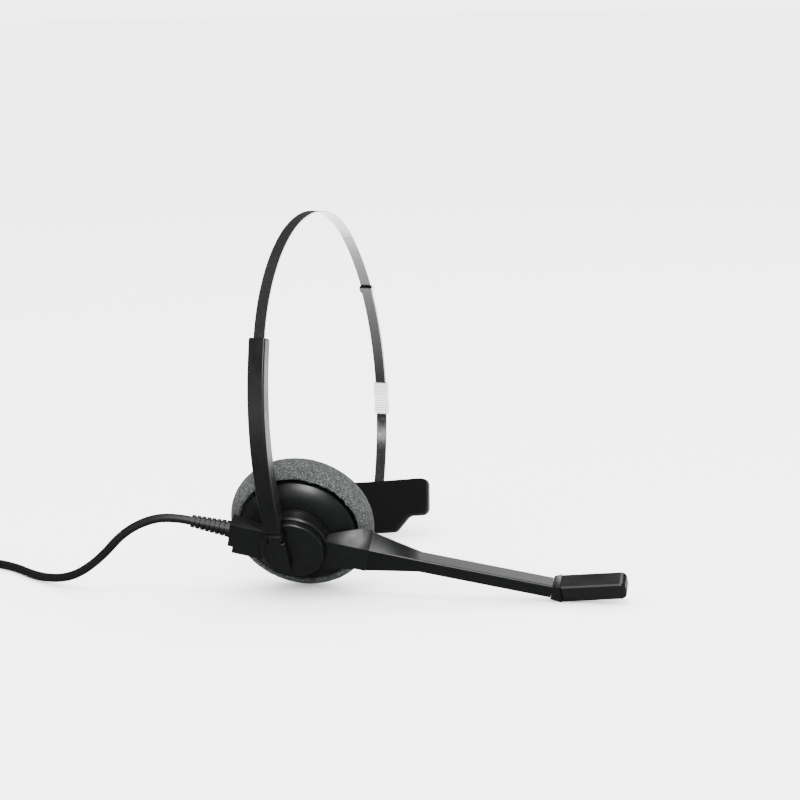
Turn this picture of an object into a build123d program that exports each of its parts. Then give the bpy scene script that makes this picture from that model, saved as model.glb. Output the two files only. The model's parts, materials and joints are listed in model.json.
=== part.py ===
from math import cos, radians, sin, tan
import os

from build123d import *

os.makedirs("parts", exist_ok=True)

# A one-ear office headset. It is drawn in the band's frame: X forward along the boom,
# Y across the head towards the temple pad, Z up, origin in the middle of the hoop.
# The last step sets it down on the desk: Z up from the desk, origin below its middle.

# ---------------------------------------------------------------- headband
band_width = 4.7
band_thick = 0.5
band_gap = 0.3                  # between the two strips that slide on each other
crown_radius = 62.0             # arc over the head
crown_y, crown_z = -10.4, 16.2
crown_from, crown_to = -17.9, 37.5      # degrees from straight up, towards the temple
ear_arc_radius = 55.6           # arc down to the arm
ear_arc_end = -79.8
band_tail = 8.5                 # straight end of the strip, inside the arm
temple_arc_radius = 110.0       # arc down to the temple pad; the strips slide along it
main_band_end = 86.4
temple_band_start = 54.5
temple_band_end = 108.8
sleeve_from, sleeve_to = 80.3, 87.7
sleeve_wall = 0.45
sleeve_rib = 0.2
sleeve_ribs = 5                 # at each end
clip_angle = 0.7                # half the clip's length along the arc
clip_wall = 0.35
slide_clearance = 0.12

# ---------------------------------------------------------------- temple pad
temple_length = 52.0
temple_top = 8.4                # above the pin
temple_wing = -8.2
temple_lobe = -15.2
temple_lobe_half = 17.0
temple_lobe_foot = 10.5
temple_corner = 3.2
plate_thick = 1.8
plate_stand_off = 2.8           # pin to the plate's outer face
pad_thick = 4.2
pad_overhang = 0.5
temple_pitch = 7.2              # front end up, degrees
temple_pin_radius = 0.8
temple_eye_wall = 0.6
lug_width = 1.4
pin_clearance = 0.06

# ---------------------------------------------------------------- arm
arm_width = 7.2
arm_top_depth = 4.6
arm_end_depth = 5.8
arm_wall = 1.1
arm_side_wall = 0.8
arm_cover_thick = 0.9
arm_start_angle = -13.0         # heading of the outer face, from straight down
arm_outset = 2.6                # strip to outer face at the top
arm_head = 8.0                  # straight length at the top
arm_radius = 108.0              # outer face
arm_turn = 34.0
arm_foot = 9.0                  # straight length above the hinge
arm_lean = 2.4                  # lower end forward, degrees
arm_edge = 0.8
rivet_radius = 0.8
rivet_head_radius = 1.4
rivet_places = (3.0, 6.6)       # down the strip's tail
hinge_radius = 1.9              # knuckle
hinge_drop = 2.4                # hinge below the end of the arm
hinge_pin_radius = 0.7
cheek = 0.9
barrel_gap = 0.12
arm_clear = 20.5                # the arm's end stays above this height over the hub
arm_clear_from, arm_clear_to = 0.85, 6.2        # measured up from the hinge

# ---------------------------------------------------------------- ear cup
cup_x, cup_y, cup_z = 5.3, -37.8, -46.9
cup_yaw = 9.5
cup_tilt = 24.5
boom_droop = 12.3
cushion_radius = 30.0
cushion_front = 6.2
cushion_back = 8.6
cushion_face = 3.0
cushion_clearance = 0.3
cushion_gap = 0.9               # open ring between foam and housing
cushion_dish = 0.8
housing_radius = 23.6
housing_wall = 1.6
housing_edge = 5.6              # height of the housing's outer edge
housing_top = 9.9
housing_flat = 13.6             # radius of the flat top
housing_boss_radius = 2.2
housing_boss_place = 19.3
flange_radius = 26.0
flange_thick = 1.6
baffle_thick = 1.4
baffle_radius = 23.0
baffle_back = -4.6
felt_thick = 0.8
speaker_radius = 17.5
speaker_depth = 3.6
magnet_radius = 8.5
magnet_depth = 3.2

# ---------------------------------------------------------------- boom carrier
disc_radius = 14.0
disc_taper = 0.7
lip_radius = 14.4
lip_thick = 0.7
disc_base = 10.3
front_plane = 16.0              # front face of the bar that carries the boom
post_radius = 3.2
run_clearance = 0.1
cap_radius = 13.0
cap_base = 16.35
cap_top = 19.4
cap_wall = 1.6
cap_edge = 0.8
hub_boss = 4.1
washer_thick = 0.2
bar_top, bar_bottom = 6.0, -4.6
bar_end = 30.0
root_top = 10.2
root_start = 12.0
root_full = 26.0
root_bottom = -8.8
root_start_back = 11.1
root_back = 7.7
bar_wall = 1.4
block_end = -26.8
block_top, block_bottom = 3.9, -9.8
block_back = 8.3
block_step, block_step_height = 2.0, 3.0
carrier_back_thick = 1.2

# ---------------------------------------------------------------- yoke
tab_width = 7.6
tab_thick = 3.4
tab_length = 17.5               # hinge to the rounded end
tab_gap = 0.05
tab_screw_places = (4.6, 13.0)  # below the hinge

# ---------------------------------------------------------------- boom
boom_depth = 6.4
boom_height = 6.0
boom_taper = 21.0               # length over which the root narrows
boom_length = 78.5              # seam to microphone head
boom_rise = 1.3
boom_edge = 0.7
spigot_length = 8.0
wire_bore = 1.3
wire_radius = 0.9
mic_length = 26.0
mic_height = 7.4
mic_depth = 9.0
mic_rise = 17.5
mic_wall = 0.9
mic_nose = 2.4
mic_edge = 1.0
mic_cover_depth = 3.0
mic_slots = 5
boot_length = 4.0
capsule_radius = 2.2
capsule_length = 3.0

# ---------------------------------------------------------------- cord
cord_diameter = 3.6
relief_radius = 3.4
relief_end_radius = 2.6
relief_length = 16.5
lead_depth = 3.5                # cord inside the block
relief_ribs = 8
relief_gap = 0.6
relief_groove = 0.7
relief_q, relief_t = -1.0, 12.3
# Route on the desk, from the strain relief to the coil, then from the coil to the plug.
first_run = 5.5                # straight out of the relief
cord_route = [
    (-101.2, -62.6, 32.8), (-113.6, -64.5, 26.6), (-124.9, -64.6, 14.4), (-139.3, -62.7, 5.0),
    (-157.9, -56.1, 1.9), (-181.0, -40.5, 1.9), (-203.0, -38.0, 1.9),
]
tail_route = [(-239.0, -78.4, 1.9), (-239.0, -95.0, 1.9), (-227.0, -107.0, 3.4), (-210.0, -107.0, 4.3)]
coil_x, coil_y = -219.0, -60.0
coil_radius = 20.0              # middle of the turns
coil_width = 10.8
coil_height = 7.4
tie_angle = -60.0
tie_width = 6.0
tie_thick = 0.7
plug_length = 34.0
plug_width = 13.0
plug_height = 8.6
plug_wall = 1.3
plug_boot = 7.0
plug_boot_radius = 3.2
socket_depth = 14.0
contact_radius = 0.5
contact_pitch = 2.2
latch_width = 6.0
latch_length = 12.0

# ---------------------------------------------------------------- on the desk
nose_up = -0.454
side_lean = -2.302

screw_radius = 0.9
screw_head_radius = 1.7
close_gap = 0.05                # two still pieces that only touch


def arc_point(centre, radius, angle):
    """Point at an angle from straight up, clockwise towards the temple."""
    a = radians(angle)
    return Vector(0, centre[0] + radius * sin(a), centre[1] + radius * cos(a))


def arc_edge(centre, radius, start, end):
    points = [arc_point(centre, radius, a) for a in (start, (start + end) / 2, end)]
    return ThreePointArc(*points)


def next_centre(centre, radius, angle, new_radius):
    """Centre of an arc that goes on smoothly from another one at the angle."""
    a = radians(angle)
    step = radius - new_radius
    return centre[0] + step * sin(a), centre[1] + step * cos(a)


def across(edges, width, shift=0):
    """A closed outline in the plane X = 0, made as thick as width."""
    outline = make_face(edges)
    solid = extrude(outline, amount=width / 2, dir=(1, 0, 0), both=True)
    return Pos(shift, 0, 0) * solid


def sector(centre, inner, outer, start, end, width):
    """A curved bar about an X axis through the centre."""
    top = arc_edge(centre, outer, start, end)
    low = arc_edge(centre, inner, start, end)
    return across([top, Line(top @ 1, low @ 1), low, Line(low @ 0, top @ 0)], width)


def disc(radius, low, high):
    return Pos(0, 0, (low + high) / 2) * Cylinder(radius, high - low)


def ring(outer, inner, low, high):
    return disc(outer, low, high) - disc(inner, low - 1, high + 1)


def block(x0, x1, y0, y1, z0, z1):
    middle = Pos((x0 + x1) / 2, (y0 + y1) / 2, (z0 + z1) / 2)
    return middle * Box(x1 - x0, y1 - y0, z1 - z0)


def rod(radius, start, end):
    """A round bar between two points."""
    axis = Vector(*end) - Vector(*start)
    place = Plane(origin=Vector(*start), z_dir=axis)
    return extrude(place * Circle(radius), amount=axis.length)


def screw(length, head=screw_head_radius, radius=screw_radius):
    """A pan-head screw with a cross recess, head up, seat at height 0."""
    top = disc(head, 0, 1.1)
    top = chamfer(top.edges().group_by(Axis.Z)[-1], 0.3)
    recess = block(-0.25, 0.25, -0.9, 0.9, 0.6, 2) + block(-0.9, 0.9, -0.25, 0.25, 0.6, 2)
    return top + disc(radius, -length, 0.2) - recess


# ================================================================ frames
crown = (crown_y, crown_z)
temple_centre = next_centre(crown, crown_radius, crown_to, temple_arc_radius)
ear_centre = next_centre(crown, crown_radius, crown_from, ear_arc_radius)

yaw, tilt, droop = radians(cup_yaw), radians(cup_tilt), radians(boom_droop)
out_dir = Vector(sin(yaw) * cos(tilt), -cos(yaw) * cos(tilt), -sin(tilt))
level_dir = Vector(cos(yaw), sin(yaw), 0)
up_dir = out_dir.cross(level_dir)
boom_dir = level_dir * cos(droop) - up_dir * sin(droop)
# The cup's own frame: x along the boom, y up across it, z out from the head.
ear = Plane(origin=(cup_x, cup_y, cup_z), x_dir=boom_dir, z_dir=out_dir)


# ================================================================ headband
def band_line(shift, end):
    """The long strip's line, from its tail in the arm to the temple side."""
    tail_top = arc_point(ear_centre, ear_arc_radius + shift, ear_arc_end)
    tail = Line(tail_top + tail_heading * band_tail, tail_top)
    return [
        tail,
        arc_edge(ear_centre, ear_arc_radius + shift, ear_arc_end, crown_from),
        arc_edge(crown, crown_radius + shift, crown_from, crown_to),
        arc_edge(temple_centre, temple_arc_radius + shift, crown_to, end),
    ]


def closed(first, second):
    """Two lines that run the same way, and the two ends that join them."""
    return [*first, Line(first[-1] @ 1, second[-1] @ 1), *second, Line(second[0] @ 0, first[0] @ 0)]


a = radians(ear_arc_end)
tail_heading = Vector(0, -cos(a), sin(a))
tail_out = Vector(0, sin(a), cos(a))
half_band = band_thick / 2
slide_radius = temple_arc_radius - band_thick - band_gap        # middle of the sliding strip

main_band = across(closed(band_line(half_band, main_band_end), band_line(-half_band, main_band_end)), band_width)
rivet_spots = [arc_point(ear_centre, ear_arc_radius, ear_arc_end) + tail_heading * d for d in rivet_places]
for spot in rivet_spots:
    main_band -= rod(rivet_radius + close_gap, spot - tail_out * 2, spot + tail_out * 2)

temple_band = sector(
    temple_centre, slide_radius - half_band, slide_radius + half_band,
    temple_band_start, temple_band_end, band_width,
)

# The sleeve is fixed to the end of the long strip. The other strip slides in it.
tunnel_in = slide_radius - half_band - slide_clearance
tunnel_out = temple_arc_radius + half_band + close_gap
tunnel_width = band_width + 2 * slide_clearance
sleeve = sector(
    temple_centre, tunnel_in - sleeve_wall, tunnel_out + sleeve_wall,
    sleeve_from, sleeve_to, tunnel_width + 2 * sleeve_wall,
)
rib_pitch = 0.52
for side in (1, -1):
    for i in range(sleeve_ribs):
        first = sleeve_from if side > 0 else sleeve_to
        place = first + side * rib_pitch * (i + 0.5)
        sleeve += sector(
            temple_centre, tunnel_in - sleeve_wall - sleeve_rib, tunnel_out + sleeve_wall + sleeve_rib,
            place - 0.13, place + 0.13, tunnel_width + 2 * sleeve_wall + 2 * sleeve_rib,
        )
sleeve -= sector(temple_centre, tunnel_in, tunnel_out, sleeve_from - 1, sleeve_to + 1, tunnel_width)

# The clip is fixed to the sliding strip and runs round the long one.
clip_tunnel_in = slide_radius - half_band - close_gap
clip_tunnel_out = temple_arc_radius + half_band + slide_clearance
clip_place = temple_band_start + clip_angle + 0.1
band_clip = sector(
    temple_centre, clip_tunnel_in - clip_wall, clip_tunnel_out + clip_wall,
    clip_place - clip_angle, clip_place + clip_angle, tunnel_width + 2 * clip_wall,
) - sector(
    temple_centre, clip_tunnel_in, clip_tunnel_out,
    clip_place - 2 * clip_angle, clip_place + 2 * clip_angle, tunnel_width,
)

# ================================================================ temple pad
pin_point = arc_point(temple_centre, slide_radius, temple_band_end)
a = radians(temple_band_end)
inward = Vector(0, -sin(a), -cos(a))
# Pin frame: x along the pin, z towards the head.
pin_plane = Plane(origin=pin_point, x_dir=(1, 0, 0), z_dir=inward)
eye_radius = temple_pin_radius + pin_clearance + temple_eye_wall


def on(plane, shape):
    return plane.location * shape


def along_x(radius, half):
    return Rot(0, 90, 0) * Cylinder(radius, 2 * half)


temple_band += on(pin_plane, along_x(eye_radius, band_width / 2))
temple_band -= on(pin_plane, along_x(temple_pin_radius + pin_clearance, band_width))

half_bar = temple_length / 2
bar_outline = make_face(Polyline(
    (-half_bar, temple_top), (half_bar, temple_top), (half_bar, temple_wing),
    (temple_lobe_half, temple_wing), (temple_lobe_foot, temple_lobe),
    (-temple_lobe_foot, temple_lobe), (-temple_lobe_half, temple_wing), (-half_bar, temple_wing),
    close=True,
))
bar_outline = fillet(bar_outline.vertices(), temple_corner)
pad_outline = offset(bar_outline, pad_overhang)


def slab(outline, low, high):
    return Pos(0, 0, low) * extrude(outline, high - low)


pitch = Rot(0, 0, temple_pitch)
temple_plate = pitch * slab(bar_outline, plate_stand_off, plate_stand_off + plate_thick)
lug_gap = band_width / 2 + 0.3
for side in (1, -1):
    x0, x1 = sorted((side * lug_gap, side * (lug_gap + lug_width)))
    lug = block(x0, x1, -1.9, 1.9, 0, plate_stand_off + 0.5)
    lug += Pos((x0 + x1) / 2, 0, 0) * along_x(1.9, lug_width / 2)
    temple_plate += lug
temple_plate -= along_x(temple_pin_radius + close_gap, lug_gap + lug_width + 1)
temple_plate -= block(-lug_gap, lug_gap, -3.2, 3.2, plate_stand_off - 1, plate_stand_off + 0.7)
pad_low = plate_stand_off + plate_thick + close_gap
temple_pad = slab(pad_outline, pad_low, pad_low + pad_thick)
temple_pad = pitch * fillet(temple_pad.faces().sort_by(Axis.Z)[-1].edges(), 1.8)
temple_pin = along_x(temple_pin_radius, lug_gap + lug_width)

# ================================================================ arm
def heading(angle):
    return Vector(0, sin(radians(angle)), -cos(radians(angle)))


def inwards(angle):
    return Vector(0, cos(radians(angle)), sin(radians(angle)))


arm_top = arc_point(ear_centre, ear_arc_radius + arm_outset, ear_arc_end)
arm_bend = arm_top + heading(arm_start_angle) * arm_head
arm_arc_centre = arm_bend + inwards(arm_start_angle) * arm_radius
arm_end_angle = arm_start_angle + arm_turn
arm_angles = [arm_start_angle, arm_start_angle, arm_start_angle + arm_turn / 2, arm_end_angle, arm_end_angle]
arm_arc_length = arm_radius * radians(arm_turn)
arm_reach = [0, arm_head, arm_head + arm_arc_length / 2, arm_head + arm_arc_length]
arm_reach.append(arm_reach[-1] + arm_foot)


def arm_line(inset, depth_share, top=0, foot=0):
    """A line along the arm, at an inset from its outer face."""
    points = []
    for i, angle in enumerate(arm_angles):
        share = arm_reach[i] / arm_reach[-1]
        depth = arm_top_depth + (arm_end_depth - arm_top_depth) * share
        if i == 0:
            base = arm_top + heading(angle) * top
        elif i == 4:
            base = arm_arc_centre - inwards(angle) * arm_radius + heading(angle) * (arm_foot - foot)
        else:
            base = arm_arc_centre - inwards(angle) * arm_radius
        points.append(base + inwards(angle) * (inset + depth * depth_share))
    return [Line(points[0], points[1]), ThreePointArc(*points[1:4]), Line(points[3], points[4])]


arm_end = arm_arc_centre - inwards(arm_end_angle) * arm_radius + heading(arm_end_angle) * arm_foot
hinge_flat = arm_end + heading(arm_end_angle) * hinge_drop + inwards(arm_end_angle) * hinge_radius
cheek_radius = hinge_radius + 0.2
half_arm = arm_width / 2

outer_line = arm_line(0, 0)
arm_shell = across(closed(outer_line, arm_line(0, 1)), arm_width)
long_edges = [
    e for e in arm_shell.edges()
    if abs(abs(e.center().X) - half_arm) < 0.01 and e.length > 2
    and min((Pos(e.center().X, 0, 0) * line).distance_to(e) for line in outer_line) < 0.01
]
arm_shell = fillet(long_edges, arm_edge)
inner_width = arm_width - 2 * arm_side_wall
arm_shell -= across(closed(arm_line(arm_wall, 0, 1.3, 2.6), arm_line(0.5, 1, 1.3, 2.6)), inner_width)
arm_cover = across(closed(
    arm_line(-arm_cover_thick, 1, 1.35, 2.65), arm_line(0, 1, 1.35, 2.65)), inner_width - 2 * close_gap)
back = heading(arm_end_angle) * -3
side_in = inwards(arm_end_angle)
for side in (1, -1):
    centre_x = side * (half_arm - cheek / 2)
    outline = [
        arm_end + back + side_in * 0.9, arm_end + back + side_in * 4.8,
        hinge_flat + side_in * cheek_radius, hinge_flat - side_in * hinge_radius,
    ]
    edges = [Line(outline[i], outline[(i + 1) % 4]) for i in range(4)]
    arm_shell += across(edges, cheek, centre_x)
    arm_shell += Pos(centre_x, hinge_flat.Y, hinge_flat.Z) * along_x(cheek_radius, cheek / 2)
arm_shell -= Pos(hinge_flat) * along_x(hinge_pin_radius + close_gap, arm_width)
lean = Pos(arm_top) * Rot(0, -arm_lean, 0) * Pos(-arm_top)
arm_shell = lean * arm_shell
arm_cover = lean * arm_cover
hinge_pin = lean * Pos(hinge_flat) * along_x(hinge_pin_radius, half_arm)
hinge_point = (lean * Pos(hinge_flat)).position
hinge_dir = Vector(cos(radians(arm_lean)), 0, sin(radians(arm_lean)))
slot = band_thick + 2 * slide_clearance
mouth = arc_point(ear_centre, ear_arc_radius, ear_arc_end)
mouth_plane = Plane(origin=mouth, x_dir=(1, 0, 0), z_dir=tail_heading)
arm_shell -= on(mouth_plane, block(-tunnel_width / 2, tunnel_width / 2, -slot / 2, slot / 2, -3, 4))
band_rivets = []
for spot in rivet_spots:
    rivet = rod(rivet_radius, spot + tail_out * 1.9, spot - tail_out * (half_band + 0.3))
    rivet += rod(rivet_head_radius, spot - tail_out * (half_band + close_gap), spot - tail_out * (half_band + 0.4))
    rivet += rod(rivet_head_radius, spot + tail_out * (half_band + close_gap), spot + tail_out * 1.1)
    band_rivets.append(rivet)
    arm_shell -= rod(rivet_radius + close_gap, spot + tail_out, spot + tail_out * 2)

# ================================================================ ear cup
def turned(edges):
    """A solid turned about z from edges that start and end in the plane y = 0."""
    return revolve(make_face(edges), Axis.Z)


def corner_line(*points):
    """Straight edges through (radius, height) points."""
    spots = [(r, 0, t) for r, t in points]
    return [Line(spots[i], spots[i + 1]) for i in range(len(spots) - 1)]


def bow(*points):
    return ThreePointArc(*[(r, 0, t) for r, t in points])


def around(shape, count, radius, start=0.0):
    """Copies of a shape round the z axis."""
    step = 360 / count
    return [Rot(0, 0, start + i * step) * Pos(radius, 0, 0) * shape for i in range(count)]


groove = flange_radius + cushion_clearance
well_radius = baffle_radius + cushion_clearance
cushion_floor = -cushion_back + cushion_face
cushion_mouth = housing_radius + cushion_gap
flange_top = flange_thick + cushion_clearance
ear_cushion = turned([
    bow((cushion_mouth, cushion_front), (28.4, 4.3), (cushion_radius, 0)),
    bow((cushion_radius, 0), (28.7, -5.6), (24.6, -cushion_back)),
    *corner_line(
        (24.6, -cushion_back), (14, -cushion_back), (8, -cushion_back + cushion_dish),
        (0, -cushion_back + cushion_dish), (0, cushion_floor), (well_radius, cushion_floor),
        (well_radius, -cushion_clearance), (groove, -cushion_clearance), (groove, flange_top),
        (cushion_mouth, flange_top), (cushion_mouth, cushion_front),
    ),
])

housing_low = flange_thick + close_gap
inner_edge = housing_radius - housing_wall
inner_top = housing_top - housing_wall
cup_housing = turned([
    *corner_line((housing_radius, housing_low), (housing_radius, housing_edge)),
    bow((housing_radius, housing_edge), (19.2, 8.7), (housing_flat, housing_top)),
    *corner_line((housing_flat, housing_top), (0, housing_top), (0, inner_top), (housing_flat - 0.4, inner_top)),
    bow((housing_flat - 0.4, inner_top), (18.1, 7.1), (inner_edge, housing_edge - 0.7)),
    *corner_line((inner_edge, housing_edge - 0.7), (inner_edge, housing_low), (housing_radius, housing_low)),
])
for boss in around(disc(housing_boss_radius, housing_low, 7.0), 3, housing_boss_place, 90):
    cup_housing += boss
for hole in around(disc(screw_radius + close_gap, 0, 5.6), 3, housing_boss_place, 90):
    cup_housing -= hole
cup_housing -= disc(screw_radius + close_gap, inner_top - 1, housing_top + 1)

speaker_hole = speaker_radius + close_gap
cup_flange = ring(flange_radius, speaker_hole, 0, flange_thick)
cup_flange += ring(inner_edge - close_gap, inner_edge - 0.6, flange_thick - 0.1, flange_thick + 2)
cup_flange += ring(baffle_radius, baffle_radius - 1.4, baffle_back + baffle_thick + close_gap, 0.1)
for hole in around(disc(screw_radius + close_gap, -1, 3), 3, housing_boss_place, 90):
    cup_flange -= hole
for hole in around(disc(housing_boss_radius + close_gap, flange_thick, 6), 3, housing_boss_place, 90):
    cup_flange -= hole
housing_screws = around(Rot(180, 0, 0) * screw(4.8, 1.6), 3, housing_boss_place, 90)
housing_screws = [Pos(0, 0, -close_gap) * s for s in housing_screws]

baffle = disc(baffle_radius, baffle_back, baffle_back + baffle_thick)
for count, radius in ((6, 5.0), (12, 10.0)):
    for hole in around(disc(0.9, baffle_back - 1, 0), count, radius):
        baffle -= hole
acoustic_felt = disc(baffle_radius - 1, baffle_back - felt_thick - close_gap, baffle_back - close_gap)

speaker_low = baffle_back + baffle_thick + close_gap
speaker_top = speaker_low + speaker_depth
speaker_frame = ring(speaker_radius, speaker_radius - 2.2, speaker_low, speaker_top)
speaker_frame += ring(speaker_radius - 1, magnet_radius + close_gap, speaker_top - 1, speaker_top)
speaker_cone = turned([
    *corner_line((0, speaker_low + 0.9), (5, speaker_low + 0.6)),
    bow((5, speaker_low + 0.6), (10, speaker_low + 1.9), (15.2, speaker_low + 0.5)),
    *corner_line((15.2, speaker_low + 0.5), (15.2, speaker_low + 0.8)),
    bow((15.2, speaker_low + 0.8), (10, speaker_low + 2.2), (5, speaker_low + 0.9)),
    *corner_line((5, speaker_low + 0.9), (0, speaker_low + 1.2), (0, speaker_low + 0.9)),
])
speaker_magnet = disc(magnet_radius, speaker_top - 0.9, speaker_top - 0.9 + magnet_depth)

# ================================================================ hub and yoke
hinge_at = ear.to_local_coords(hinge_point)
hinge_to = ear.to_local_coords(hinge_point + hinge_dir) - hinge_at
tab_plane = Plane(origin=(hinge_at.X, hinge_at.Y, 0), x_dir=(hinge_to.X, hinge_to.Y, 0), z_dir=(0, 0, 1))
# The arm's foot hooks over the hub, clear of the cap over the whole tilt.
arm_shell -= on(ear, on(tab_plane, block(-20, 20, arm_clear_from, arm_clear_to, 5, arm_clear)))
arm_cover -= on(ear, on(tab_plane, block(-20, 20, -5, arm_clear_to, 5, arm_clear)))
tab_low = cap_top + tab_gap
tab_high = tab_low + tab_thick
half_tab = tab_width / 2
half_barrel = half_arm - cheek - barrel_gap
tab_middle = half_tab - tab_length


def hinge_rod(radius, half):
    return rod(radius, hinge_at - hinge_to * half, hinge_at + hinge_to * half)


tab_flat = block(-half_tab, half_tab, tab_middle, -cheek_radius - 0.5, tab_low, tab_high)
tab_flat += Pos(0, tab_middle, 0) * disc(half_tab, tab_low, tab_high)
tab_flat = fillet(tab_flat.faces().sort_by(Axis.Z)[-1].edges(), 0.5)
tab_flat += block(-half_barrel + 0.2, half_barrel - 0.2, -cheek_radius - 1.5, 0, tab_low, tab_high)
yoke_tab = on(tab_plane, tab_flat)
yoke_tab += hinge_rod(hinge_radius, half_barrel) - block(-40, 40, -40, 40, 0, tab_low)
yoke_tab -= hinge_rod(hinge_pin_radius + pin_clearance, half_arm + 2)

cap_roof = cap_top - cap_wall
hub_cap = disc(cap_radius, cap_base, cap_top)
hub_cap = fillet(hub_cap.edges().group_by(Axis.Z)[-1], cap_edge)
hub_cap -= ring(cap_radius - cap_wall, hub_boss, cap_base - 1, cap_roof)
hub_cap += disc(post_radius, housing_top + close_gap, cap_base + 1)
hub_cap -= disc(screw_radius + close_gap, housing_top - 1, housing_top + 5.5)
hub_cap -= hinge_rod(cheek_radius + 0.35, half_arm + 0.5)
tab_screws = []
for place in tab_screw_places:
    spot = on(tab_plane, Pos(0, -place, cap_roof - close_gap))
    tab_screws.append(spot * Rot(180, 0, 0) * screw(cap_wall + tab_thick - 1, 1.35, 0.7))
    hole = spot * Rot(180, 0, 0) * disc(0.7 + close_gap, -cap_wall - tab_thick + 0.9, 1)
    hub_cap -= hole
    yoke_tab -= hole
pivot_screw = Pos(0, 0, inner_top - close_gap) * Rot(180, 0, 0) * screw(6.6)
washer_low = (front_plane + cap_base - washer_thick) / 2
wave_washer = ring(hub_boss - 0.1, post_radius + run_clearance, washer_low, washer_low + washer_thick)

# ================================================================ boom carrier
def run_of(*sections, corner=0.0):
    """A body through flat sections, each given as x and its (y, z) corners."""
    across_x = Plane(origin=(0, 0, 0), x_dir=(0, 1, 0), z_dir=(1, 0, 0))
    faces = []
    for x, corners in sections:
        outline = make_face(Polyline(*corners, close=True))
        if corner:
            outline = fillet(outline.vertices(), corner)
        faces.append(Pos(x, 0, 0) * on(across_x, outline))
    return loft(faces, ruled=True)


def section(top, bottom, front, back, back_top):
    return [(top, front), (bottom, front), (bottom, back), (back_top, back)]


carrier = turned(corner_line(
    (0, disc_base), (lip_radius, disc_base), (lip_radius, disc_base + lip_thick),
    (disc_radius, disc_base + lip_thick), (disc_radius - disc_taper * 0.2, front_plane - disc_taper),
    (disc_radius - disc_taper, front_plane), (0, front_plane), (0, disc_base),
))
bar_section = section(bar_top, bar_bottom, front_plane, root_back, root_top)
carrier += run_of(
    (root_start, section(bar_top, root_bottom, front_plane, root_start_back, bar_top)),
    (root_full, bar_section), (bar_end, bar_section),
)
carrier += run_of(
    (-root_start, section(block_top, block_bottom, front_plane, root_start_back, block_top)),
    (block_end, section(block_top, block_bottom, front_plane, block_back, block_top)),
)
carrier -= block(block_end - 1, block_end + block_step, block_bottom - 1, block_bottom + block_step_height, 0, 20)


def well(inset, high):
    """The hollow behind the carrier's front wall."""
    inner = post_radius + run_clearance + bar_wall + inset
    hollow = ring(disc_radius - bar_wall - inset, inner, 0, high)
    hollow += block(
        block_end + block_step + inset, -root_start, block_bottom + block_step_height + 0.4 + inset,
        block_top - bar_wall - inset, 0, high,
    )
    return hollow


wall_in = front_plane - bar_wall
skin = carrier - Pos(0, 0, carrier_back_thick) * carrier
carrier_back = (skin & well(close_gap, front_plane)).solids().sort_by(SortBy.VOLUME)[-1]
bosses = [Pos(0, y, 0) * disc(2, disc_base + carrier_back_thick + close_gap, front_plane - 0.5) for y in (-8.7, 8.7)]
carrier_shell = carrier - well(0, wall_in)
for boss in bosses:
    carrier_shell += boss
carrier_screws = []
for y in (-8.7, 8.7):
    carrier_back -= Pos(0, y, 0) * disc(1.65, disc_base - 1, disc_base + 0.7)
    carrier_back -= Pos(0, y, 0) * disc(0.75, disc_base - 1, front_plane)
    carrier_shell -= Pos(0, y, 0) * disc(0.7 + close_gap, disc_base, disc_base + 4.3)
    flat_head = disc(1.6, disc_base + 0.05, disc_base + 0.65) + disc(0.7, disc_base + 0.5, disc_base + 4.2)
    flat_head -= block(-1, 1, -0.2, 0.2, disc_base, disc_base + 0.3)
    carrier_screws.append(Pos(0, y, 0) * flat_head)
carrier_shell -= disc(post_radius + run_clearance, disc_base - 1, front_plane + 1)
carrier_shell -= block(root_start - 2, bar_end - spigot_length + 1, -2.6, 2.8, 11.7, wall_in)

# ================================================================ boom
boom_plane = Plane(origin=(bar_end, bar_top, front_plane)).rotated((0, 0, boom_rise))
root_depth = front_plane - root_back
root_height = bar_top - bar_bottom
boom_start = -(root_height + root_top - bar_top) * sin(radians(boom_rise)) - close_gap
slim = section(0, -boom_height, 0, -boom_depth, 0)
boom_tube = run_of(
    (boom_start, section(0, -root_height, 0, -root_depth, root_top - bar_top)),
    (boom_taper, slim), (boom_length - boot_length, slim), corner=boom_edge,
)
boom_tube -= Rot(0, 0, -boom_rise) * block(2 * boom_start, close_gap, -30, 30, -30, 30)
spigot = (-7.4, -2.2, -4.9, -1.8)
boom_tube += block(-spigot_length, 0.5, *spigot)
neck = (-boom_height / 2 - 1.9, -boom_height / 2 + 1.9, -boom_depth / 2 - 1.9, -boom_depth / 2 + 1.9)
boom_tube += block(boom_length - boot_length - 0.5, boom_length + 2, *neck)
bore = (-boom_height / 2, -boom_depth / 2)
carrier_shell -= on(boom_plane, block(
    -spigot_length - 1, 1, spigot[0] - close_gap, spigot[1] + close_gap, spigot[2] - close_gap, spigot[3] + close_gap))
wire_path = ((-spigot_length - 3, -4.4, -3.2), (boom_taper, *bore), (boom_length + 6, *bore))
for start, end in ((wire_path[0], wire_path[1]), (wire_path[1], wire_path[2])):
    boom_tube -= rod(wire_bore, start, end)
boom_tube -= Pos(*wire_path[1]) * Sphere(wire_bore)
boom_wires = rod(wire_radius, wire_path[0], wire_path[1]) + rod(wire_radius, wire_path[1], wire_path[2])
boom_wires += Pos(*wire_path[1]) * Sphere(wire_radius)

mic_plane = Plane(origin=(boom_length, -boom_height / 2, -boom_depth / 2)).rotated((0, 0, mic_rise))
mic_front = boom_depth / 2 + 0.5
mic_back = mic_front - mic_depth
half_mic = mic_height / 2


def mic_block(inset, front_inset=0.0):
    """The microphone head's outline, drawn in by an inset all round."""
    body = block(inset, mic_length - inset, -half_mic + inset, half_mic - inset,
                 mic_back + inset, mic_front - inset - front_inset)
    nose = [e for e in body.edges().filter_by(Axis.Z) if e.center().X > mic_length / 2]
    body = fillet(nose, mic_nose - inset)
    return body


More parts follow.
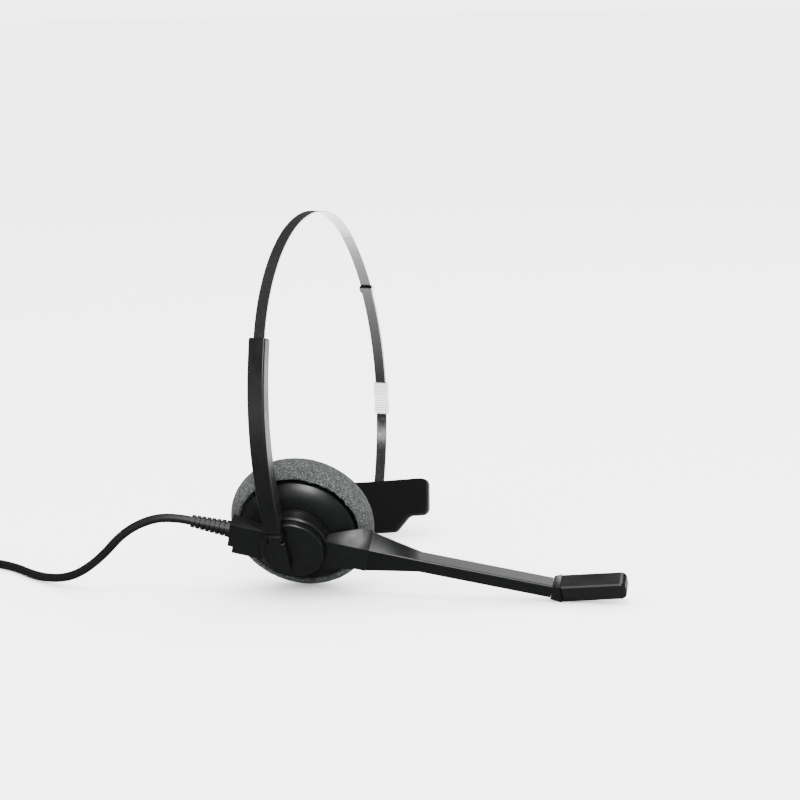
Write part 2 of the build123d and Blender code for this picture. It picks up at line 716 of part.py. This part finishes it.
mic_outer = mic_block(0)
mic_outer = fillet(mic_outer.faces().sort_by(Axis.Z)[-1].edges(), mic_edge)
mic_outer = fillet(mic_outer.faces().sort_by(Axis.Z)[0].edges(), mic_edge)
cover_cut = mic_back + mic_cover_depth
mic_inner = mic_block(mic_wall)
mic_cover = (mic_outer - mic_inner) & block(-50, 50, -50, 50, mic_back - 1, cover_cut - close_gap)
mic_housing = (mic_outer - mic_inner) & block(-50, 50, -50, 50, cover_cut, mic_front + 1)
for i in range(mic_slots):
    middle = mic_length - 6 - i * 2.0
    mic_cover -= block(middle - 0.4, middle + 0.4, -1.9, 1.9, mic_back - 1, mic_back + mic_wall + 0.5)
mic_capsule = Pos(mic_length - 9, 0, mic_back + mic_wall + close_gap + capsule_length / 2)
mic_capsule = mic_capsule * Cylinder(capsule_radius, capsule_length)
mic_parts = [on(mic_plane, part) for part in (mic_housing, mic_cover, mic_capsule)]
mic_housing, mic_cover, mic_capsule = mic_parts
neck_room = block(boom_length - 3, boom_length + 3, *[v + s * 0.1 for v, s in zip(neck, (-1, 1, -1, 1))])
mic_housing -= neck_room
mic_cover -= neck_room
boot_start = boom_length - boot_length + close_gap
end_corners = [
    mic_plane.from_local_coords((-close_gap, y, z))
    for y, z in section(half_mic, -half_mic, mic_front, mic_back, half_mic)
]
start_corners = [Vector(boot_start, y, z) for y, z in section(0.3, -boom_height - 0.3, 0.3, -boom_depth - 0.3, 0.3)]
boot_faces = [make_face(Polyline(*corners, close=True)) for corners in (start_corners, end_corners)]
mic_boot = loft(boot_faces, ruled=True) - neck_room
mic_boot -= block(boom_length - boot_length - 1, boom_length + 3, *[v + s * 0.05 for v, s in zip(neck, (-1, 1, -1, 1))])

# ================================================================ cord end
relief_plane = Plane(origin=(block_end - close_gap, relief_q, relief_t), x_dir=(0, 1, 0), z_dir=(-1, 0, 0))
relief_step = relief_length / relief_ribs
edges = []
strain_relief = None
for i in range(relief_ribs):
    share = i / (relief_ribs - 1)
    outer = relief_radius + (relief_end_radius - relief_radius) * share
    low = i * relief_step
    rib = disc(outer, low + (0.0 if i == 0 else relief_gap / 2), low + relief_step - relief_gap / 2)
    core = disc(outer - relief_groove, low, low + relief_step)
    strain_relief = rib + core if strain_relief is None else strain_relief + rib + core
strain_relief -= disc(cord_diameter / 2 + close_gap, -1, relief_length + 1)
strain_relief = on(relief_plane, strain_relief)
cord_radius = cord_diameter / 2
cord_lead = on(relief_plane, disc(cord_radius, -lead_depth, relief_length - close_gap))
carrier_shell -= on(relief_plane, disc(cord_radius + close_gap, -2.5, 1))
clamp_x = block_end + block_step + 3 * close_gap
cord_clamp = block(clamp_x, clamp_x + 1.4, relief_q - 3.2, relief_q + 2.9, relief_t - 1.5, wall_in - close_gap)
cord_clamp -= on(relief_plane, disc(cord_radius + close_gap, -9, 1))

# ================================================================ on the desk
bodies = {
    "main_band": [main_band],
    "sleeve": [sleeve],
    "arm_shell": [arm_shell],
    "arm_cover": [arm_cover],
    "band_rivets": band_rivets,
    "hinge_pin": [hinge_pin],
    "temple_band": [temple_band],
    "band_clip": [band_clip],
    "temple_pin": [on(pin_plane, temple_pin)],
    "temple_plate": [on(pin_plane, temple_plate)],
    "temple_pad": [on(pin_plane, temple_pad)],
}
in_ear = {
    "yoke_tab": [yoke_tab],
    "hub_cap": [hub_cap],
    "tab_screws": tab_screws,
    "pivot_screw": [pivot_screw],
    "wave_washer": [wave_washer],
    "cup_housing": [cup_housing],
    "cup_flange": [cup_flange],
    "housing_screws": housing_screws,
    "baffle": [baffle],
    "speaker_frame": [speaker_frame],
    "speaker_cone": [speaker_cone],
    "speaker_magnet": [speaker_magnet],
    "acoustic_felt": [acoustic_felt],
    "ear_cushion": [ear_cushion],
    "carrier_shell": [carrier_shell],
    "carrier_back": [carrier_back],
    "carrier_screws": carrier_screws,
    "strain_relief": [strain_relief],
    "cord_lead": [cord_lead],
    "cord_clamp": [cord_clamp],
}
on_boom = {
    "boom_tube": [boom_tube],
    "boom_wires": [boom_wires],
    "mic_boot": [mic_boot],
    "mic_housing": [mic_housing],
    "mic_cover": [mic_cover],
    "mic_capsule": [mic_capsule],
}
for name, solids in in_ear.items():
    bodies[name] = [on(ear, solid) for solid in solids]
for name, solids in on_boom.items():
    bodies[name] = [on(ear, on(boom_plane, solid)) for solid in solids]

rest = Rot(side_lean, 0, 0) * Rot(0, -nose_up, 0)
for name, solids in bodies.items():
    bodies[name] = [rest * solid for solid in solids]
everything = Compound(children=[s for solids in bodies.values() for part in solids for s in part.solids()])
box = everything.bounding_box()
to_desk = Pos(-(box.min.X + box.max.X) / 2, -(box.min.Y + box.max.Y) / 2, -box.min.Z) * rest
settle = to_desk * rest.inverse()
for name, solids in bodies.items():
    bodies[name] = [settle * solid for solid in solids]

# ================================================================ cord and plug
def tube(points, radius):
    """A round cord with the widest arc at each corner that its two runs allow."""
    runs = [b - a for a, b in zip(points, points[1:])]
    radii = []
    for first, second in zip(runs, runs[1:]):
        half_turn = radians(first.get_angle(second)) / 2
        radii.append(0.45 * min(first.length, second.length) / tan(half_turn))
    path = FilletPolyline(*points, radius=radii)
    print("cord corner radii", [round(r, 1) for r in radii], "length", round(path.length, 1))
    return sweep(Plane(origin=points[0], z_dir=runs[0]) * Circle(radius), path=path)


relief_end = to_desk * ear.location * relief_plane.location * Pos(0, 0, relief_length)
cord_from = relief_end.position
cord_turn = (relief_end * Pos(0, 0, first_run)).position
cord_run = tube([cord_from, cord_turn, *[Vector(*p) for p in cord_route]], cord_radius)
cord_tail = tube([Vector(*p) for p in tail_route], cord_radius)

coil_at = Pos(coil_x, coil_y, 0)
coil_low = tie_thick + close_gap
coil_half = coil_width / 2
cord_coil = ring(coil_radius + coil_half, coil_radius - coil_half, coil_low, coil_low + coil_height)
cord_coil = coil_at * fillet(cord_coil.edges(), 1.6)
reach = coil_half + close_gap
coil_tie = block(-reach - tie_thick, reach + tie_thick, -tie_width / 2, tie_width / 2, 0, coil_low + coil_height + tie_thick + close_gap)
coil_tie -= block(-reach - 0.4, reach + 0.4, -tie_width, tie_width, tie_thick, coil_low + coil_height + close_gap)
coil_tie = coil_at * Rot(0, 0, tie_angle) * Pos(coil_radius, 0, 0) * coil_tie

plug_from = Vector(*tail_route[-1]) + Vector(0.12, 0, 0)
half_plug = plug_width / 2
plug_shell = block(plug_boot, plug_boot + plug_length, -half_plug, half_plug, -plug_height / 2, plug_height / 2)
plug_shell = fillet(plug_shell.edges().filter_by(Axis.X), 2.2)
boot = Plane(origin=(0, 0, 0), x_dir=(0, 1, 0), z_dir=(1, 0, 0))
plug_shell += on(boot, Pos(0, 0, plug_boot / 2 + 0.5) * Cone(cord_radius + 0.4, plug_boot_radius, plug_boot + 1))
plug_end = plug_boot + plug_length
socket_half = half_plug - plug_wall
socket_high = plug_height / 2 - plug_wall
plug_shell -= block(plug_end - socket_depth, plug_end + 1, -socket_half, socket_half, -socket_high, socket_high)
plug_contacts = []
for i in range(4):
    y = (i - 1.5) * contact_pitch
    contact = rod(contact_radius, (plug_end - socket_depth - 3, y, 0), (plug_end - 4, y, 0))
    plug_contacts.append(contact)
    plug_shell -= rod(contact_radius + close_gap, (plug_end - socket_depth - 3.1, y, 0), (plug_end, y, 0))
latch_from = plug_boot + 5
plug_latch = block(latch_from, latch_from + latch_length, -latch_width / 2, latch_width / 2, 0, plug_height / 2 + 0.6)
plug_latch &= block(0, 60, -10, 10, plug_height / 2 - 1, 10)
room = latch_width / 2 + close_gap
plug_shell -= block(latch_from - close_gap, latch_from + latch_length + close_gap, -room, room, plug_height / 2 - 1 - close_gap, 10)
for i in range(4):
    x = latch_from + 3 + i * 2
    plug_latch -= block(x - 0.3, x + 0.3, -10, 10, plug_height / 2 + 0.3, 10)
plug_at = Pos(plug_from)
bodies["cord_run"] = [cord_run]
bodies["cord_tail"] = [cord_tail]
bodies["cord_coil"] = [cord_coil]
bodies["coil_tie"] = [coil_tie]
bodies["plug_shell"] = [plug_at * plug_shell]
bodies["plug_contacts"] = [plug_at * contact for contact in plug_contacts]
bodies["plug_latch"] = [plug_at * plug_latch]

for name, solids in bodies.items():
    pieces = [piece for solid in solids for piece in solid.solids()]
    whole = pieces[0] if len(pieces) == 1 else Compound(children=pieces)
    whole.label = name
    export_step(whole, f"parts/{name}.step")
print(len(bodies), "nodes")
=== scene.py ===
import json
import math

import bpy
from mathutils import Matrix, Vector


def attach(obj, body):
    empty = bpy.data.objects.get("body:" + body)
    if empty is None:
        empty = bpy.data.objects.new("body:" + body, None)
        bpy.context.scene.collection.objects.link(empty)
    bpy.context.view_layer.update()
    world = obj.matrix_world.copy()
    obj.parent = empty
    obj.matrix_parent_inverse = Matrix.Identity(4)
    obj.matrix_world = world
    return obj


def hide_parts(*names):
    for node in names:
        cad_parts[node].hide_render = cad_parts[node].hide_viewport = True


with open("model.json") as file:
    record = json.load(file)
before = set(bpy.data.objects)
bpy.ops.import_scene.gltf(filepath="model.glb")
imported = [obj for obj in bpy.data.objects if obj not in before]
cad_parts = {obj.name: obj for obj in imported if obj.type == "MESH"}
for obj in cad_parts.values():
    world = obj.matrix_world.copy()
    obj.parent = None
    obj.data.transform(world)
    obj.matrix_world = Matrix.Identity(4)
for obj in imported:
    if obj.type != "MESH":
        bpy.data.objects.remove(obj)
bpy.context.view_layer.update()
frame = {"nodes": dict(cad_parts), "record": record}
nodes = frame["nodes"]
mm = 0.001
print("frame loaded:", len(nodes), "nodes")


# small helpers for selecting, shaping and finishing
def deselectAll():
    for thing in bpy.context.selected_objects:
        thing.select_set(False)


def makeActive(thing):
    deselectAll()
    thing.select_set(True)
    bpy.context.view_layer.objects.active = thing


def applyModifier(thing, kind, **settings):
    makeActive(thing)
    modifier = thing.modifiers.new(kind.lower(), kind)
    for name, value in settings.items():
        setattr(modifier, name, value)
    bpy.ops.object.modifier_apply(modifier=modifier.name)


def copyOfNode(node, name):
    # a CAD mesh is loose triangles, so a copy is merged first
    mesh = nodes[node].data.copy()
    piece = bpy.data.objects.new(name, mesh)
    bpy.context.scene.collection.objects.link(piece)
    mesh.materials.clear()
    makeActive(piece)
    bpy.ops.object.mode_set(mode="EDIT")
    bpy.ops.mesh.select_all(action="SELECT")
    bpy.ops.mesh.remove_doubles(threshold=0.00001)
    bpy.ops.mesh.normals_make_consistent(inside=False)
    bpy.ops.object.mode_set(mode="OBJECT")
    return piece


def linear(hexCode, alpha=1.0):
    # sRGB hex to linear colour
    values = []
    for i in (0, 2, 4):
        c = int(hexCode[i:i + 2], 16) / 255
        values.append(c / 12.92 if c <= 0.04045 else ((c + 0.055) / 1.055) ** 2.4)
    return (*values, alpha)


def addNode(tree, kind, settings=None, links=None):
    # settings are properties or input values; links are input name -> output socket
    made = tree.nodes.new(kind)
    for name, value in (settings or {}).items():
        if name in made.inputs:
            made.inputs[name].default_value = value
        else:
            setattr(made, name, value)
    for name, socket in (links or {}).items():
        tree.links.new(socket, made.inputs[name])
    return made


def startMaterial(name, colour, roughness, **settings):
    material = bpy.data.materials.new(name)
    material.use_nodes = True
    tree = material.node_tree
    shader = tree.nodes["Principled BSDF"]
    shader.inputs["Base Color"].default_value = linear(colour)
    shader.inputs["Roughness"].default_value = roughness
    for key, value in settings.items():
        shader.inputs[key.replace("_", " ")].default_value = value
    return material, tree, shader


def objectPattern(tree, kind, grainMm, **settings):
    # a pattern in object space, its scale worked out from a size in millimetres
    place = addNode(tree, "ShaderNodeTexCoord")
    return addNode(
        tree, kind, {"Scale": 1 / (grainMm * mm), **settings}, {"Vector": place.outputs["Object"]})


def ramp(tree, socket, stops):
    made = addNode(tree, "ShaderNodeValToRGB", None, {"Fac": socket})
    elements = made.color_ramp.elements
    while len(elements) < len(stops):
        elements.new(0.5)
    for element, (place, colour) in zip(elements, stops):
        element.position = place
        element.color = linear(colour) if isinstance(colour, str) else (colour, colour, colour, 1)
    return made


def bumpFrom(tree, shader, socket, depthMm, strength=1.0):
    bump = addNode(
        tree, "ShaderNodeBump", {"Distance": depthMm * mm, "Strength": strength}, {"Height": socket})
    tree.links.new(bump.outputs["Normal"], shader.inputs["Normal"])
    return bump


# camera, set level with the leaning band
view = {
    "azimuth": 20.0,
    "elevation": 8.5,
    "distance": 0.9,
    "lens": 97.35,
    "aim": (-16.87, 1.87, 73.4),      # mm
    "lean": (-2.302, 0.454),          # the band leans on the desk, and the camera is level with the band
}
turned, raised = math.radians(view["azimuth"]), math.radians(view["elevation"])
right = Vector((math.cos(turned), math.sin(turned), 0))
back = Vector((
    math.sin(turned) * math.cos(raised), -math.cos(turned) * math.cos(raised), math.sin(raised)))
up = back.cross(right)
lean = (
    Matrix.Rotation(math.radians(view["lean"][0]), 3, "X")
    @ Matrix.Rotation(math.radians(view["lean"][1]), 3, "Y")
)
axes = [lean @ v for v in (right, up, back)]
eye = Vector(view["aim"]) * mm + axes[2] * view["distance"]
camera = bpy.data.objects.new("camera", bpy.data.cameras.new("camera"))
bpy.context.scene.collection.objects.link(camera)
camera.data.lens = view["lens"]
camera.data.sensor_width = 36
camera.data.clip_start = 0.02
camera.matrix_world = Matrix((
    (axes[0].x, axes[1].x, axes[2].x, eye.x),
    (axes[0].y, axes[1].y, axes[2].y, eye.y),
    (axes[0].z, axes[1].z, axes[2].z, eye.z),
    (0, 0, 0, 1),
))
bpy.context.scene.camera = camera
print("camera placed")

# moulded ABS, fine spark texture: a satin black that still shows soft window shapes
blackAbs, tree, shader = startMaterial("mouldedAbs", "070809", 0.36, IOR=1.53, Specular_IOR_Level=0.42)
grain = objectPattern(tree, "ShaderNodeTexNoise", 0.35, Detail=3.0)
bumpFrom(tree, shader, grain.outputs["Fac"], 0.012, 0.6)
patches = objectPattern(tree, "ShaderNodeTexNoise", 6.0, Detail=2.0)
tone = ramp(tree, patches.outputs["Fac"], [(0.3, 0.30), (0.7, 0.42)])
tree.links.new(tone.outputs["Color"], shader.inputs["Roughness"])

# glass-filled nylon of the boom: a little smoother and deeper black
nylon, tree, shader = startMaterial("mouldedNylon", "050606", 0.3, IOR=1.53, Specular_IOR_Level=0.4)
grain = objectPattern(tree, "ShaderNodeTexNoise", 0.25, Detail=2.0)
bumpFrom(tree, shader, grain.outputs["Fac"], 0.008, 0.5)

# polished spring steel strip: mirror-like, with faint drawing marks along it
steel, tree, shader = startMaterial("springSteel", "9b9d9e", 0.16, Metallic=1.0)
marks = objectPattern(tree, "ShaderNodeTexNoise", 1.2, Detail=4.0)
spread = ramp(tree, marks.outputs["Fac"], [(0.3, 0.11), (0.75, 0.22)])
tree.links.new(spread.outputs["Color"], shader.inputs["Roughness"])

# clear vinyl sleeve, frosted by its ribs: milky white where it covers the steel
vinyl, tree, shader = startMaterial("frostedVinyl", "e2e6e5", 0.32, IOR=1.5)
shader.inputs["Transmission Weight"].default_value = 0.25
shader.inputs["Subsurface Weight"].default_value = 0.3
shader.inputs["Subsurface Radius"].default_value = (0.002, 0.002, 0.002)
ribs = {"pitch": 1.1}      # mm from rib to rib
place = addNode(tree, "ShaderNodeTexCoord")
waves = addNode(
    tree, "ShaderNodeTexWave",
    {"Scale": 2 * math.pi / (20 * ribs["pitch"] * mm), "bands_direction": "Z"},
    {"Vector": place.outputs["Object"]},
)
# rib colour darker in the rib grooves: painted shade in the grooves, laid over the ribs' bump
ribPaintedShade = ramp(tree, waves.outputs["Fac"], [(0.2, "b9c0be"), (0.6, "eceeed")])
tree.links.new(ribPaintedShade.outputs["Color"], shader.inputs["Base Color"])
bumpFrom(tree, shader, waves.outputs["Fac"], 0.15, 0.8)

# open-cell acoustic foam: dark grey, with pale cell walls as specks
foam, tree, shader = startMaterial("openCellFoam", "3c3f3f", 0.95, IOR=1.45)
cells = objectPattern(tree, "ShaderNodeTexVoronoi", 0.75)
specks = objectPattern(tree, "ShaderNodeTexNoise", 0.42, Detail=4.0, Roughness=0.65)
mixed = addNode(tree, "ShaderNodeMix", {"data_type": "RGBA", "blend_type": "MULTIPLY", "Factor": 0.6})
first = ramp(tree, specks.outputs["Fac"], [(0.36, "171918"), (0.52, "303332"), (0.68, "6c706e")])
second = ramp(tree, cells.outputs["Distance"], [(0.05, "ffffff"), (0.8, "6a6a6a")])
tree.links.new(first.outputs["Color"], mixed.inputs[6])
tree.links.new(second.outputs["Color"], mixed.inputs[7])
tree.links.new(mixed.outputs[2], shader.inputs["Base Color"])
bumpFrom(tree, shader, specks.outputs["Fac"], 0.35, 1.0)

# closed-cell foam skin on the T-bar: nearly black, dull
padFoam, tree, shader = startMaterial("skinnedFoam", "030304", 0.85, IOR=1.45, Specular_IOR_Level=0.15)
grain = objectPattern(tree, "ShaderNodeTexNoise", 0.5, Detail=3.0)
bumpFrom(tree, shader, grain.outputs["Fac"], 0.04, 0.7)

# thermoplastic rubber of cord and relief: black, dull sheen
rubber, tree, shader = startMaterial("cordRubber", "080909", 0.46, IOR=1.52, Specular_IOR_Level=0.4)
grain = objectPattern(tree, "ShaderNodeTexNoise", 0.5, Detail=2.0)
bumpFrom(tree, shader, grain.outputs["Fac"], 0.01, 0.5)

# inner mouldings: unpolished black polystyrene
inner, tree, shader = startMaterial("innerPolystyrene", "1d1e1f", 0.6, IOR=1.59)
bumpFrom(tree, shader, objectPattern(tree, "ShaderNodeTexNoise", 0.6).outputs["Fac"], 0.01, 0.4)

# zinc-plated screws: grey, slightly cloudy
zinc, tree, shader = startMaterial("zincPlate", "9a9da0", 0.32, Metallic=1.0)
cloud = objectPattern(tree, "ShaderNodeTexNoise", 0.9)
haze = ramp(tree, cloud.outputs["Fac"], [(0.3, 0.25), (0.7, 0.42)])
tree.links.new(haze.outputs["Color"], shader.inputs["Roughness"])

# nickel-plated magnet and capsule can
nickel, tree, shader = startMaterial("nickelPlate", "c9c5bd", 0.2, Metallic=1.0)
cloud = objectPattern(tree, "ShaderNodeTexNoise", 1.5)
haze = ramp(tree, cloud.outputs["Fac"], [(0.3, 0.15), (0.7, 0.28)])
tree.links.new(haze.outputs["Color"], shader.inputs["Roughness"])

# polyester cone film: thin, amber, glossy
film, tree, shader = startMaterial("polyesterFilm", "b39a63", 0.22, IOR=1.57)
bumpFrom(tree, shader, objectPattern(tree, "ShaderNodeTexNoise", 2.0).outputs["Fac"], 0.02, 0.3)

# needled felt: charcoal fibres
felt, tree, shader = startMaterial("needledFelt", "2b2b2c", 0.97)
fibres = objectPattern(tree, "ShaderNodeTexNoise", 0.3, Detail=5.0)
shades = ramp(tree, fibres.outputs["Fac"], [(0.3, "1c1c1d"), (0.7, "454546")])
tree.links.new(shades.outputs["Color"], shader.inputs["Base Color"])
bumpFrom(tree, shader, fibres.outputs["Fac"], 0.08, 1.0)

# PVC wire insulation: dull red
wirePvc, tree, shader = startMaterial("wirePvc", "7c1f1b", 0.45, IOR=1.53)
bumpFrom(tree, shader, objectPattern(tree, "ShaderNodeTexNoise", 0.8).outputs["Fac"], 0.01, 0.4)

# hook and loop strip of the tie: black looped nylon, drawn coarser than real so that it shows
loopTape, tree, shader = startMaterial("loopTape", "141415", 0.95)
loops = objectPattern(tree, "ShaderNodeTexVoronoi", 0.7)
bumpFrom(tree, shader, loops.outputs["Distance"], 0.15, 1.0)

# gold-plated contacts
gold, tree, shader = startMaterial("goldPlate", "e0b45c", 0.18, Metallic=1.0)
cloud = objectPattern(tree, "ShaderNodeTexNoise", 0.8)
haze = ramp(tree, cloud.outputs["Fac"], [(0.3, 0.14), (0.7, 0.24)])
tree.links.new(haze.outputs["Color"], shader.inputs["Roughness"])

finish = {
    "spring_steel": steel,
    "clear_sleeve": vinyl,
    "black_abs": blackAbs,
    "boom_nylon": nylon,
    "inner_plastic": inner,
    "foam": foam,
    "pad_foam": padFoam,
    "felt": felt,
    "cone_film": film,
    "magnet": nickel,
    "screw_steel": zinc,
    "copper_wire": wirePvc,
    "cord_rubber": rubber,
    "tie_fabric": loopTape,
    "contact_gold": gold,
}
slotOf = {s["node"]: s["material_slot"] for s in frame["record"]["subparts"]}
for name, thing in nodes.items():
    thing.data.materials.clear()
    thing.data.materials.append(finish[slotOf[name]])
print("materials on the frame's nodes")

# moulded pieces with their edges broken: body and bevel width in mm
edges = {
    "carrier_shell": ("boom", 0.45),
    "hub_cap": ("ear_cup", 0.25),
    "yoke_tab": ("ear_cup", 0.3),
    "temple_plate": ("t_bar", 0.35),
    "mic_boot": ("boom", 0.3),
    "coil_tie": ("boom", 0.2),
}
for name, (body, width) in edges.items():
    piece = copyOfNode(name, name + "_soft")
    makeActive(piece)
    bpy.ops.object.mode_set(mode="EDIT")
    bpy.ops.mesh.select_all(action="SELECT")
    bpy.ops.mesh.dissolve_limited(angle_limit=math.radians(1.0))
    bpy.ops.object.mode_set(mode="OBJECT")
    applyModifier(
        piece, "BEVEL", width=width * mm, segments=3, limit_method="ANGLE",
        angle_limit=math.radians(28), use_clamp_overlap=True, harden_normals=False,
    )
    makeActive(piece)
    bpy.ops.object.shade_smooth_by_angle(angle=math.radians(32))
    piece.data.materials.append(finish[slotOf[name]])
    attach(piece, body)
    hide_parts(name)
print("edges broken on", len(edges), "mouldings")


# foam pieces
def puffed(node, name, foamSet):
    # the CAD solid, drawn in, remeshed and blown up as cloth, with each point's travel capped
    piece = copyOfNode(node, name)
    applyModifier(piece, "REMESH", mode="VOXEL", voxel_size=foamSet["voxel"] * mm)
    applyModifier(piece, "DISPLACE", strength=-foamSet["shrink"] * mm, mid_level=0.0)
    start = [v.co.copy() for v in piece.data.vertices]
    makeActive(piece)
    cloth = piece.modifiers.new("cloth", "CLOTH")
    cloth.settings.quality = 6
    cloth.settings.mass = 0.2
    cloth.settings.tension_stiffness = 12
    cloth.settings.compression_stiffness = 12
    cloth.settings.use_pressure = True
    cloth.settings.uniform_pressure_force = foamSet["pressure"]
    cloth.settings.effector_weights.gravity = 0
    cloth.point_cache.frame_start = 1
    cloth.point_cache.frame_end = 20
    for i in range(1, 21):
        bpy.context.scene.frame_set(i)
    bpy.ops.object.modifier_apply(modifier="cloth")
    bpy.context.scene.frame_set(1)
    farthest = 0.0
    for vertex, old in zip(piece.data.vertices, start):
        move = vertex.co - old
        farthest = max(farthest, move.length)
        if move.length > foamSet["cap"] * mm:
            vertex.co = old + move.normalized() * foamSet["cap"] * mm
    print(name, "cloth moved", round(farthest * 1000, 2), "mm")
    applyModifier(piece, "SUBSURF", levels=1, render_levels=1)
    makeActive(piece)
    bpy.ops.object.shade_smooth()
    return piece


cushion = {"voxel": 1.6, "cap": 0.45, "shrink": 0.35, "pressure": 4.0, "fill": 0.75}
earFoam = puffed("ear_cushion", "ear_cushion_foam", cushion)
earFoam.data.materials.append(foam)
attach(earFoam, "ear_cup")
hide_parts("ear_cushion")

pad = {"voxel": 1.2, "cap": 0.5, "shrink": 0.4, "pressure": 4.0, "fill": 0.7}
templeFoam = puffed("temple_pad", "temple_pad_foam", pad)
templeFoam.data.materials.append(padFoam)
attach(templeFoam, "t_bar")
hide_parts("temple_pad")
print("foam pieces made")

# cord: its route on the desk in mm, then the tied coil and the tail to the plug
cordShape = {
    "diameter": 3.6,
    "reliefEnd": (-85.594, -59.100, 31.876),
    "heading": (-0.9475, -0.2401, 0.2112),
    "firstRun": 5.5,
    "route": [
        (-101.2, -62.6, 32.8), (-113.6, -64.5, 26.6), (-124.9, -64.6, 14.4), (-139.3, -62.7, 5.0),
        (-157.9, -56.1, 1.9), (-181.0, -40.5, 1.9), (-203.0, -38.0, 1.9),
    ],
    "coil": (-219.0, -60.0),
    "coilRadius": 20.0,
    "turns": 5.25,
    "pointsPerTurn": 14,
    "tail": [(-239.0, -78.4, 1.9), (-239.0, -95.0, 1.9), (-227.0, -107.0, 3.4), (-210.0, -107.0, 4.3)],
    "length": 0.88,
}
reliefEnd = Vector(cordShape["reliefEnd"])
points = [reliefEnd, reliefEnd + Vector(cordShape["heading"]) * cordShape["firstRun"]]
points += [Vector(p) for p in cordShape["route"]]
# the turns lie two high and three wide: radius and height of each turn in order
lanes = [(3.4, 2.7), (0.0, 2.7), (-3.4, 2.7), (-3.4, 6.2), (0.0, 6.2), (3.4, 6.2)]
steps = int(cordShape["turns"] * cordShape["pointsPerTurn"])
for i in range(steps + 1):
    turn = i / cordShape["pointsPerTurn"]
    lane, share = int(turn), turn - int(turn)
    near, far = lanes[min(lane, 5)], lanes[min(lane + 1, 5)]
    # a turn keeps its lane and crosses to the next one in its last fifth
    blend = max(0.0, (share - 0.8) / 0.2)
    radius = cordShape["coilRadius"] + near[0] + (far[0] - near[0]) * blend
    height = near[1] + (far[1] - near[1]) * blend
    angle = math.radians(90) + turn * 2 * math.pi
    points.append(Vector((
        cordShape["coil"][0] + radius * math.cos(angle),
        cordShape["coil"][1] + radius * math.sin(angle),
        height,
    )))
points += [Vector(p) for p in cordShape["tail"]]
curve = bpy.data.curves.new("cord", "CURVE")
curve.dimensions = "3D"
curve.bevel_depth = cordShape["diameter"] / 2 * mm
curve.bevel_resolution = 5
curve.resolution_u = 6
spline = curve.splines.new("NURBS")
spline.points.add(len(points) - 1)
for spot, point in zip(spline.points, points):
    spot.co = (*(point * mm), 1)
spline.order_u = 3
spline.use_endpoint_u = True
cord = bpy.data.objects.new("cord", curve)
bpy.context.scene.collection.objects.link(cord)
curve.materials.append(rubber)
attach(cord, "boom")
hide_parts("cord_run", "cord_tail", "cord_coil")
print("cord laid,", len(points), "points")

# floor, room light and lamps
stageSet = {
    "floor": "f6f7f7",
    "size": 60.0,
    "light": 4.6,
    "seenInGloss": 0.13,
    "darkAt": -1.5,
    "paleAt": 0.15,
}
deselectAll()
bpy.ops.mesh.primitive_plane_add(size=stageSet["size"], location=(0, 0, 0))
floor = bpy.context.active_object
floor.name = "floor"
floorPaint, tree, shader = startMaterial("floorPaint", stageSet["floor"], 0.9, Specular_IOR_Level=0.0)
# pale everywhere, but polished surfaces see a painted reflection: the floor colour in glossy rays is
# painted shade that darkens towards the front, as under a light set behind, paler far in front and close
# behind, which paints the soft highlights and blacks on the plastics and steel
spot = addNode(tree, "ShaderNodeTexCoord")
split = addNode(tree, "ShaderNodeSeparateXYZ", None, {"Vector": spot.outputs["Object"]})
depth = addNode(
    tree, "ShaderNodeMapRange",
    {"From Min": stageSet["darkAt"], "From Max": stageSet["paleAt"]}, {"Value": split.outputs["Y"]},
)
# painted reflection ramp: dark and pale bands of floor colour that only polished surfaces see
paintedReflectionRamp = ramp(tree, depth.outputs["Result"], [
    (0.0, 0.55), (0.45, 0.4), (0.62, 0.02), (0.85, 0.006),
    (0.885, 0.05), (0.91, 0.11), (0.94, 0.3), (0.97, 0.95),
])
rays = addNode(tree, "ShaderNodeLightPath")
shown = addNode(tree, "ShaderNodeMix", {"data_type": "RGBA"}, {"Factor": rays.outputs["Is Glossy Ray"]})
shown.inputs[6].default_value = linear(stageSet["floor"])
tree.links.new(paintedReflectionRamp.outputs["Color"], shown.inputs[7])
tree.links.new(shown.outputs[2], shader.inputs["Base Color"])
floor.data.materials.append(floorPaint)

# the room lights evenly, but is dark to polished surfaces: only floor and lamps gleam in them
world = bpy.data.worlds.new("world")
bpy.context.scene.world = world
world.use_nodes = True
backdrop = world.node_tree.nodes["Background"]
backdrop.inputs["Color"].default_value = linear("ffffff")
rays = addNode(world.node_tree, "ShaderNodeLightPath")
strength = addNode(
    world.node_tree, "ShaderNodeMath",
    {"operation": "MULTIPLY_ADD"}, {0: rays.outputs["Is Glossy Ray"]},
)
strength.inputs[1].default_value = stageSet["seenInGloss"] - stageSet["light"]
strength.inputs[2].default_value = stageSet["light"]
world.node_tree.links.new(strength.outputs[0], backdrop.inputs["Strength"])

lights = {      # place in metres, size, power
    "key": ((0.05, -0.45, 1.3), 0.5, 12),
    "edge": ((0.32, -1.15, 0.62), 0.55, 18),
    "rim": ((0.1, 0.9, 1.1), 0.6, 7),
}
for name, (place, size, power) in lights.items():
    lamp = bpy.data.lights.new(name, "AREA")
    lamp.shape = "DISK"
    lamp.size = size
    lamp.energy = power
    thing = bpy.data.objects.new(name, lamp)
    bpy.context.scene.collection.objects.link(thing)
    thing.location = place
    thing.rotation_euler = (Vector((0, 0, 0.05)) - Vector(place)).to_track_quat("-Z", "Y").to_euler()
print("stage and lights set")

deselectAll()
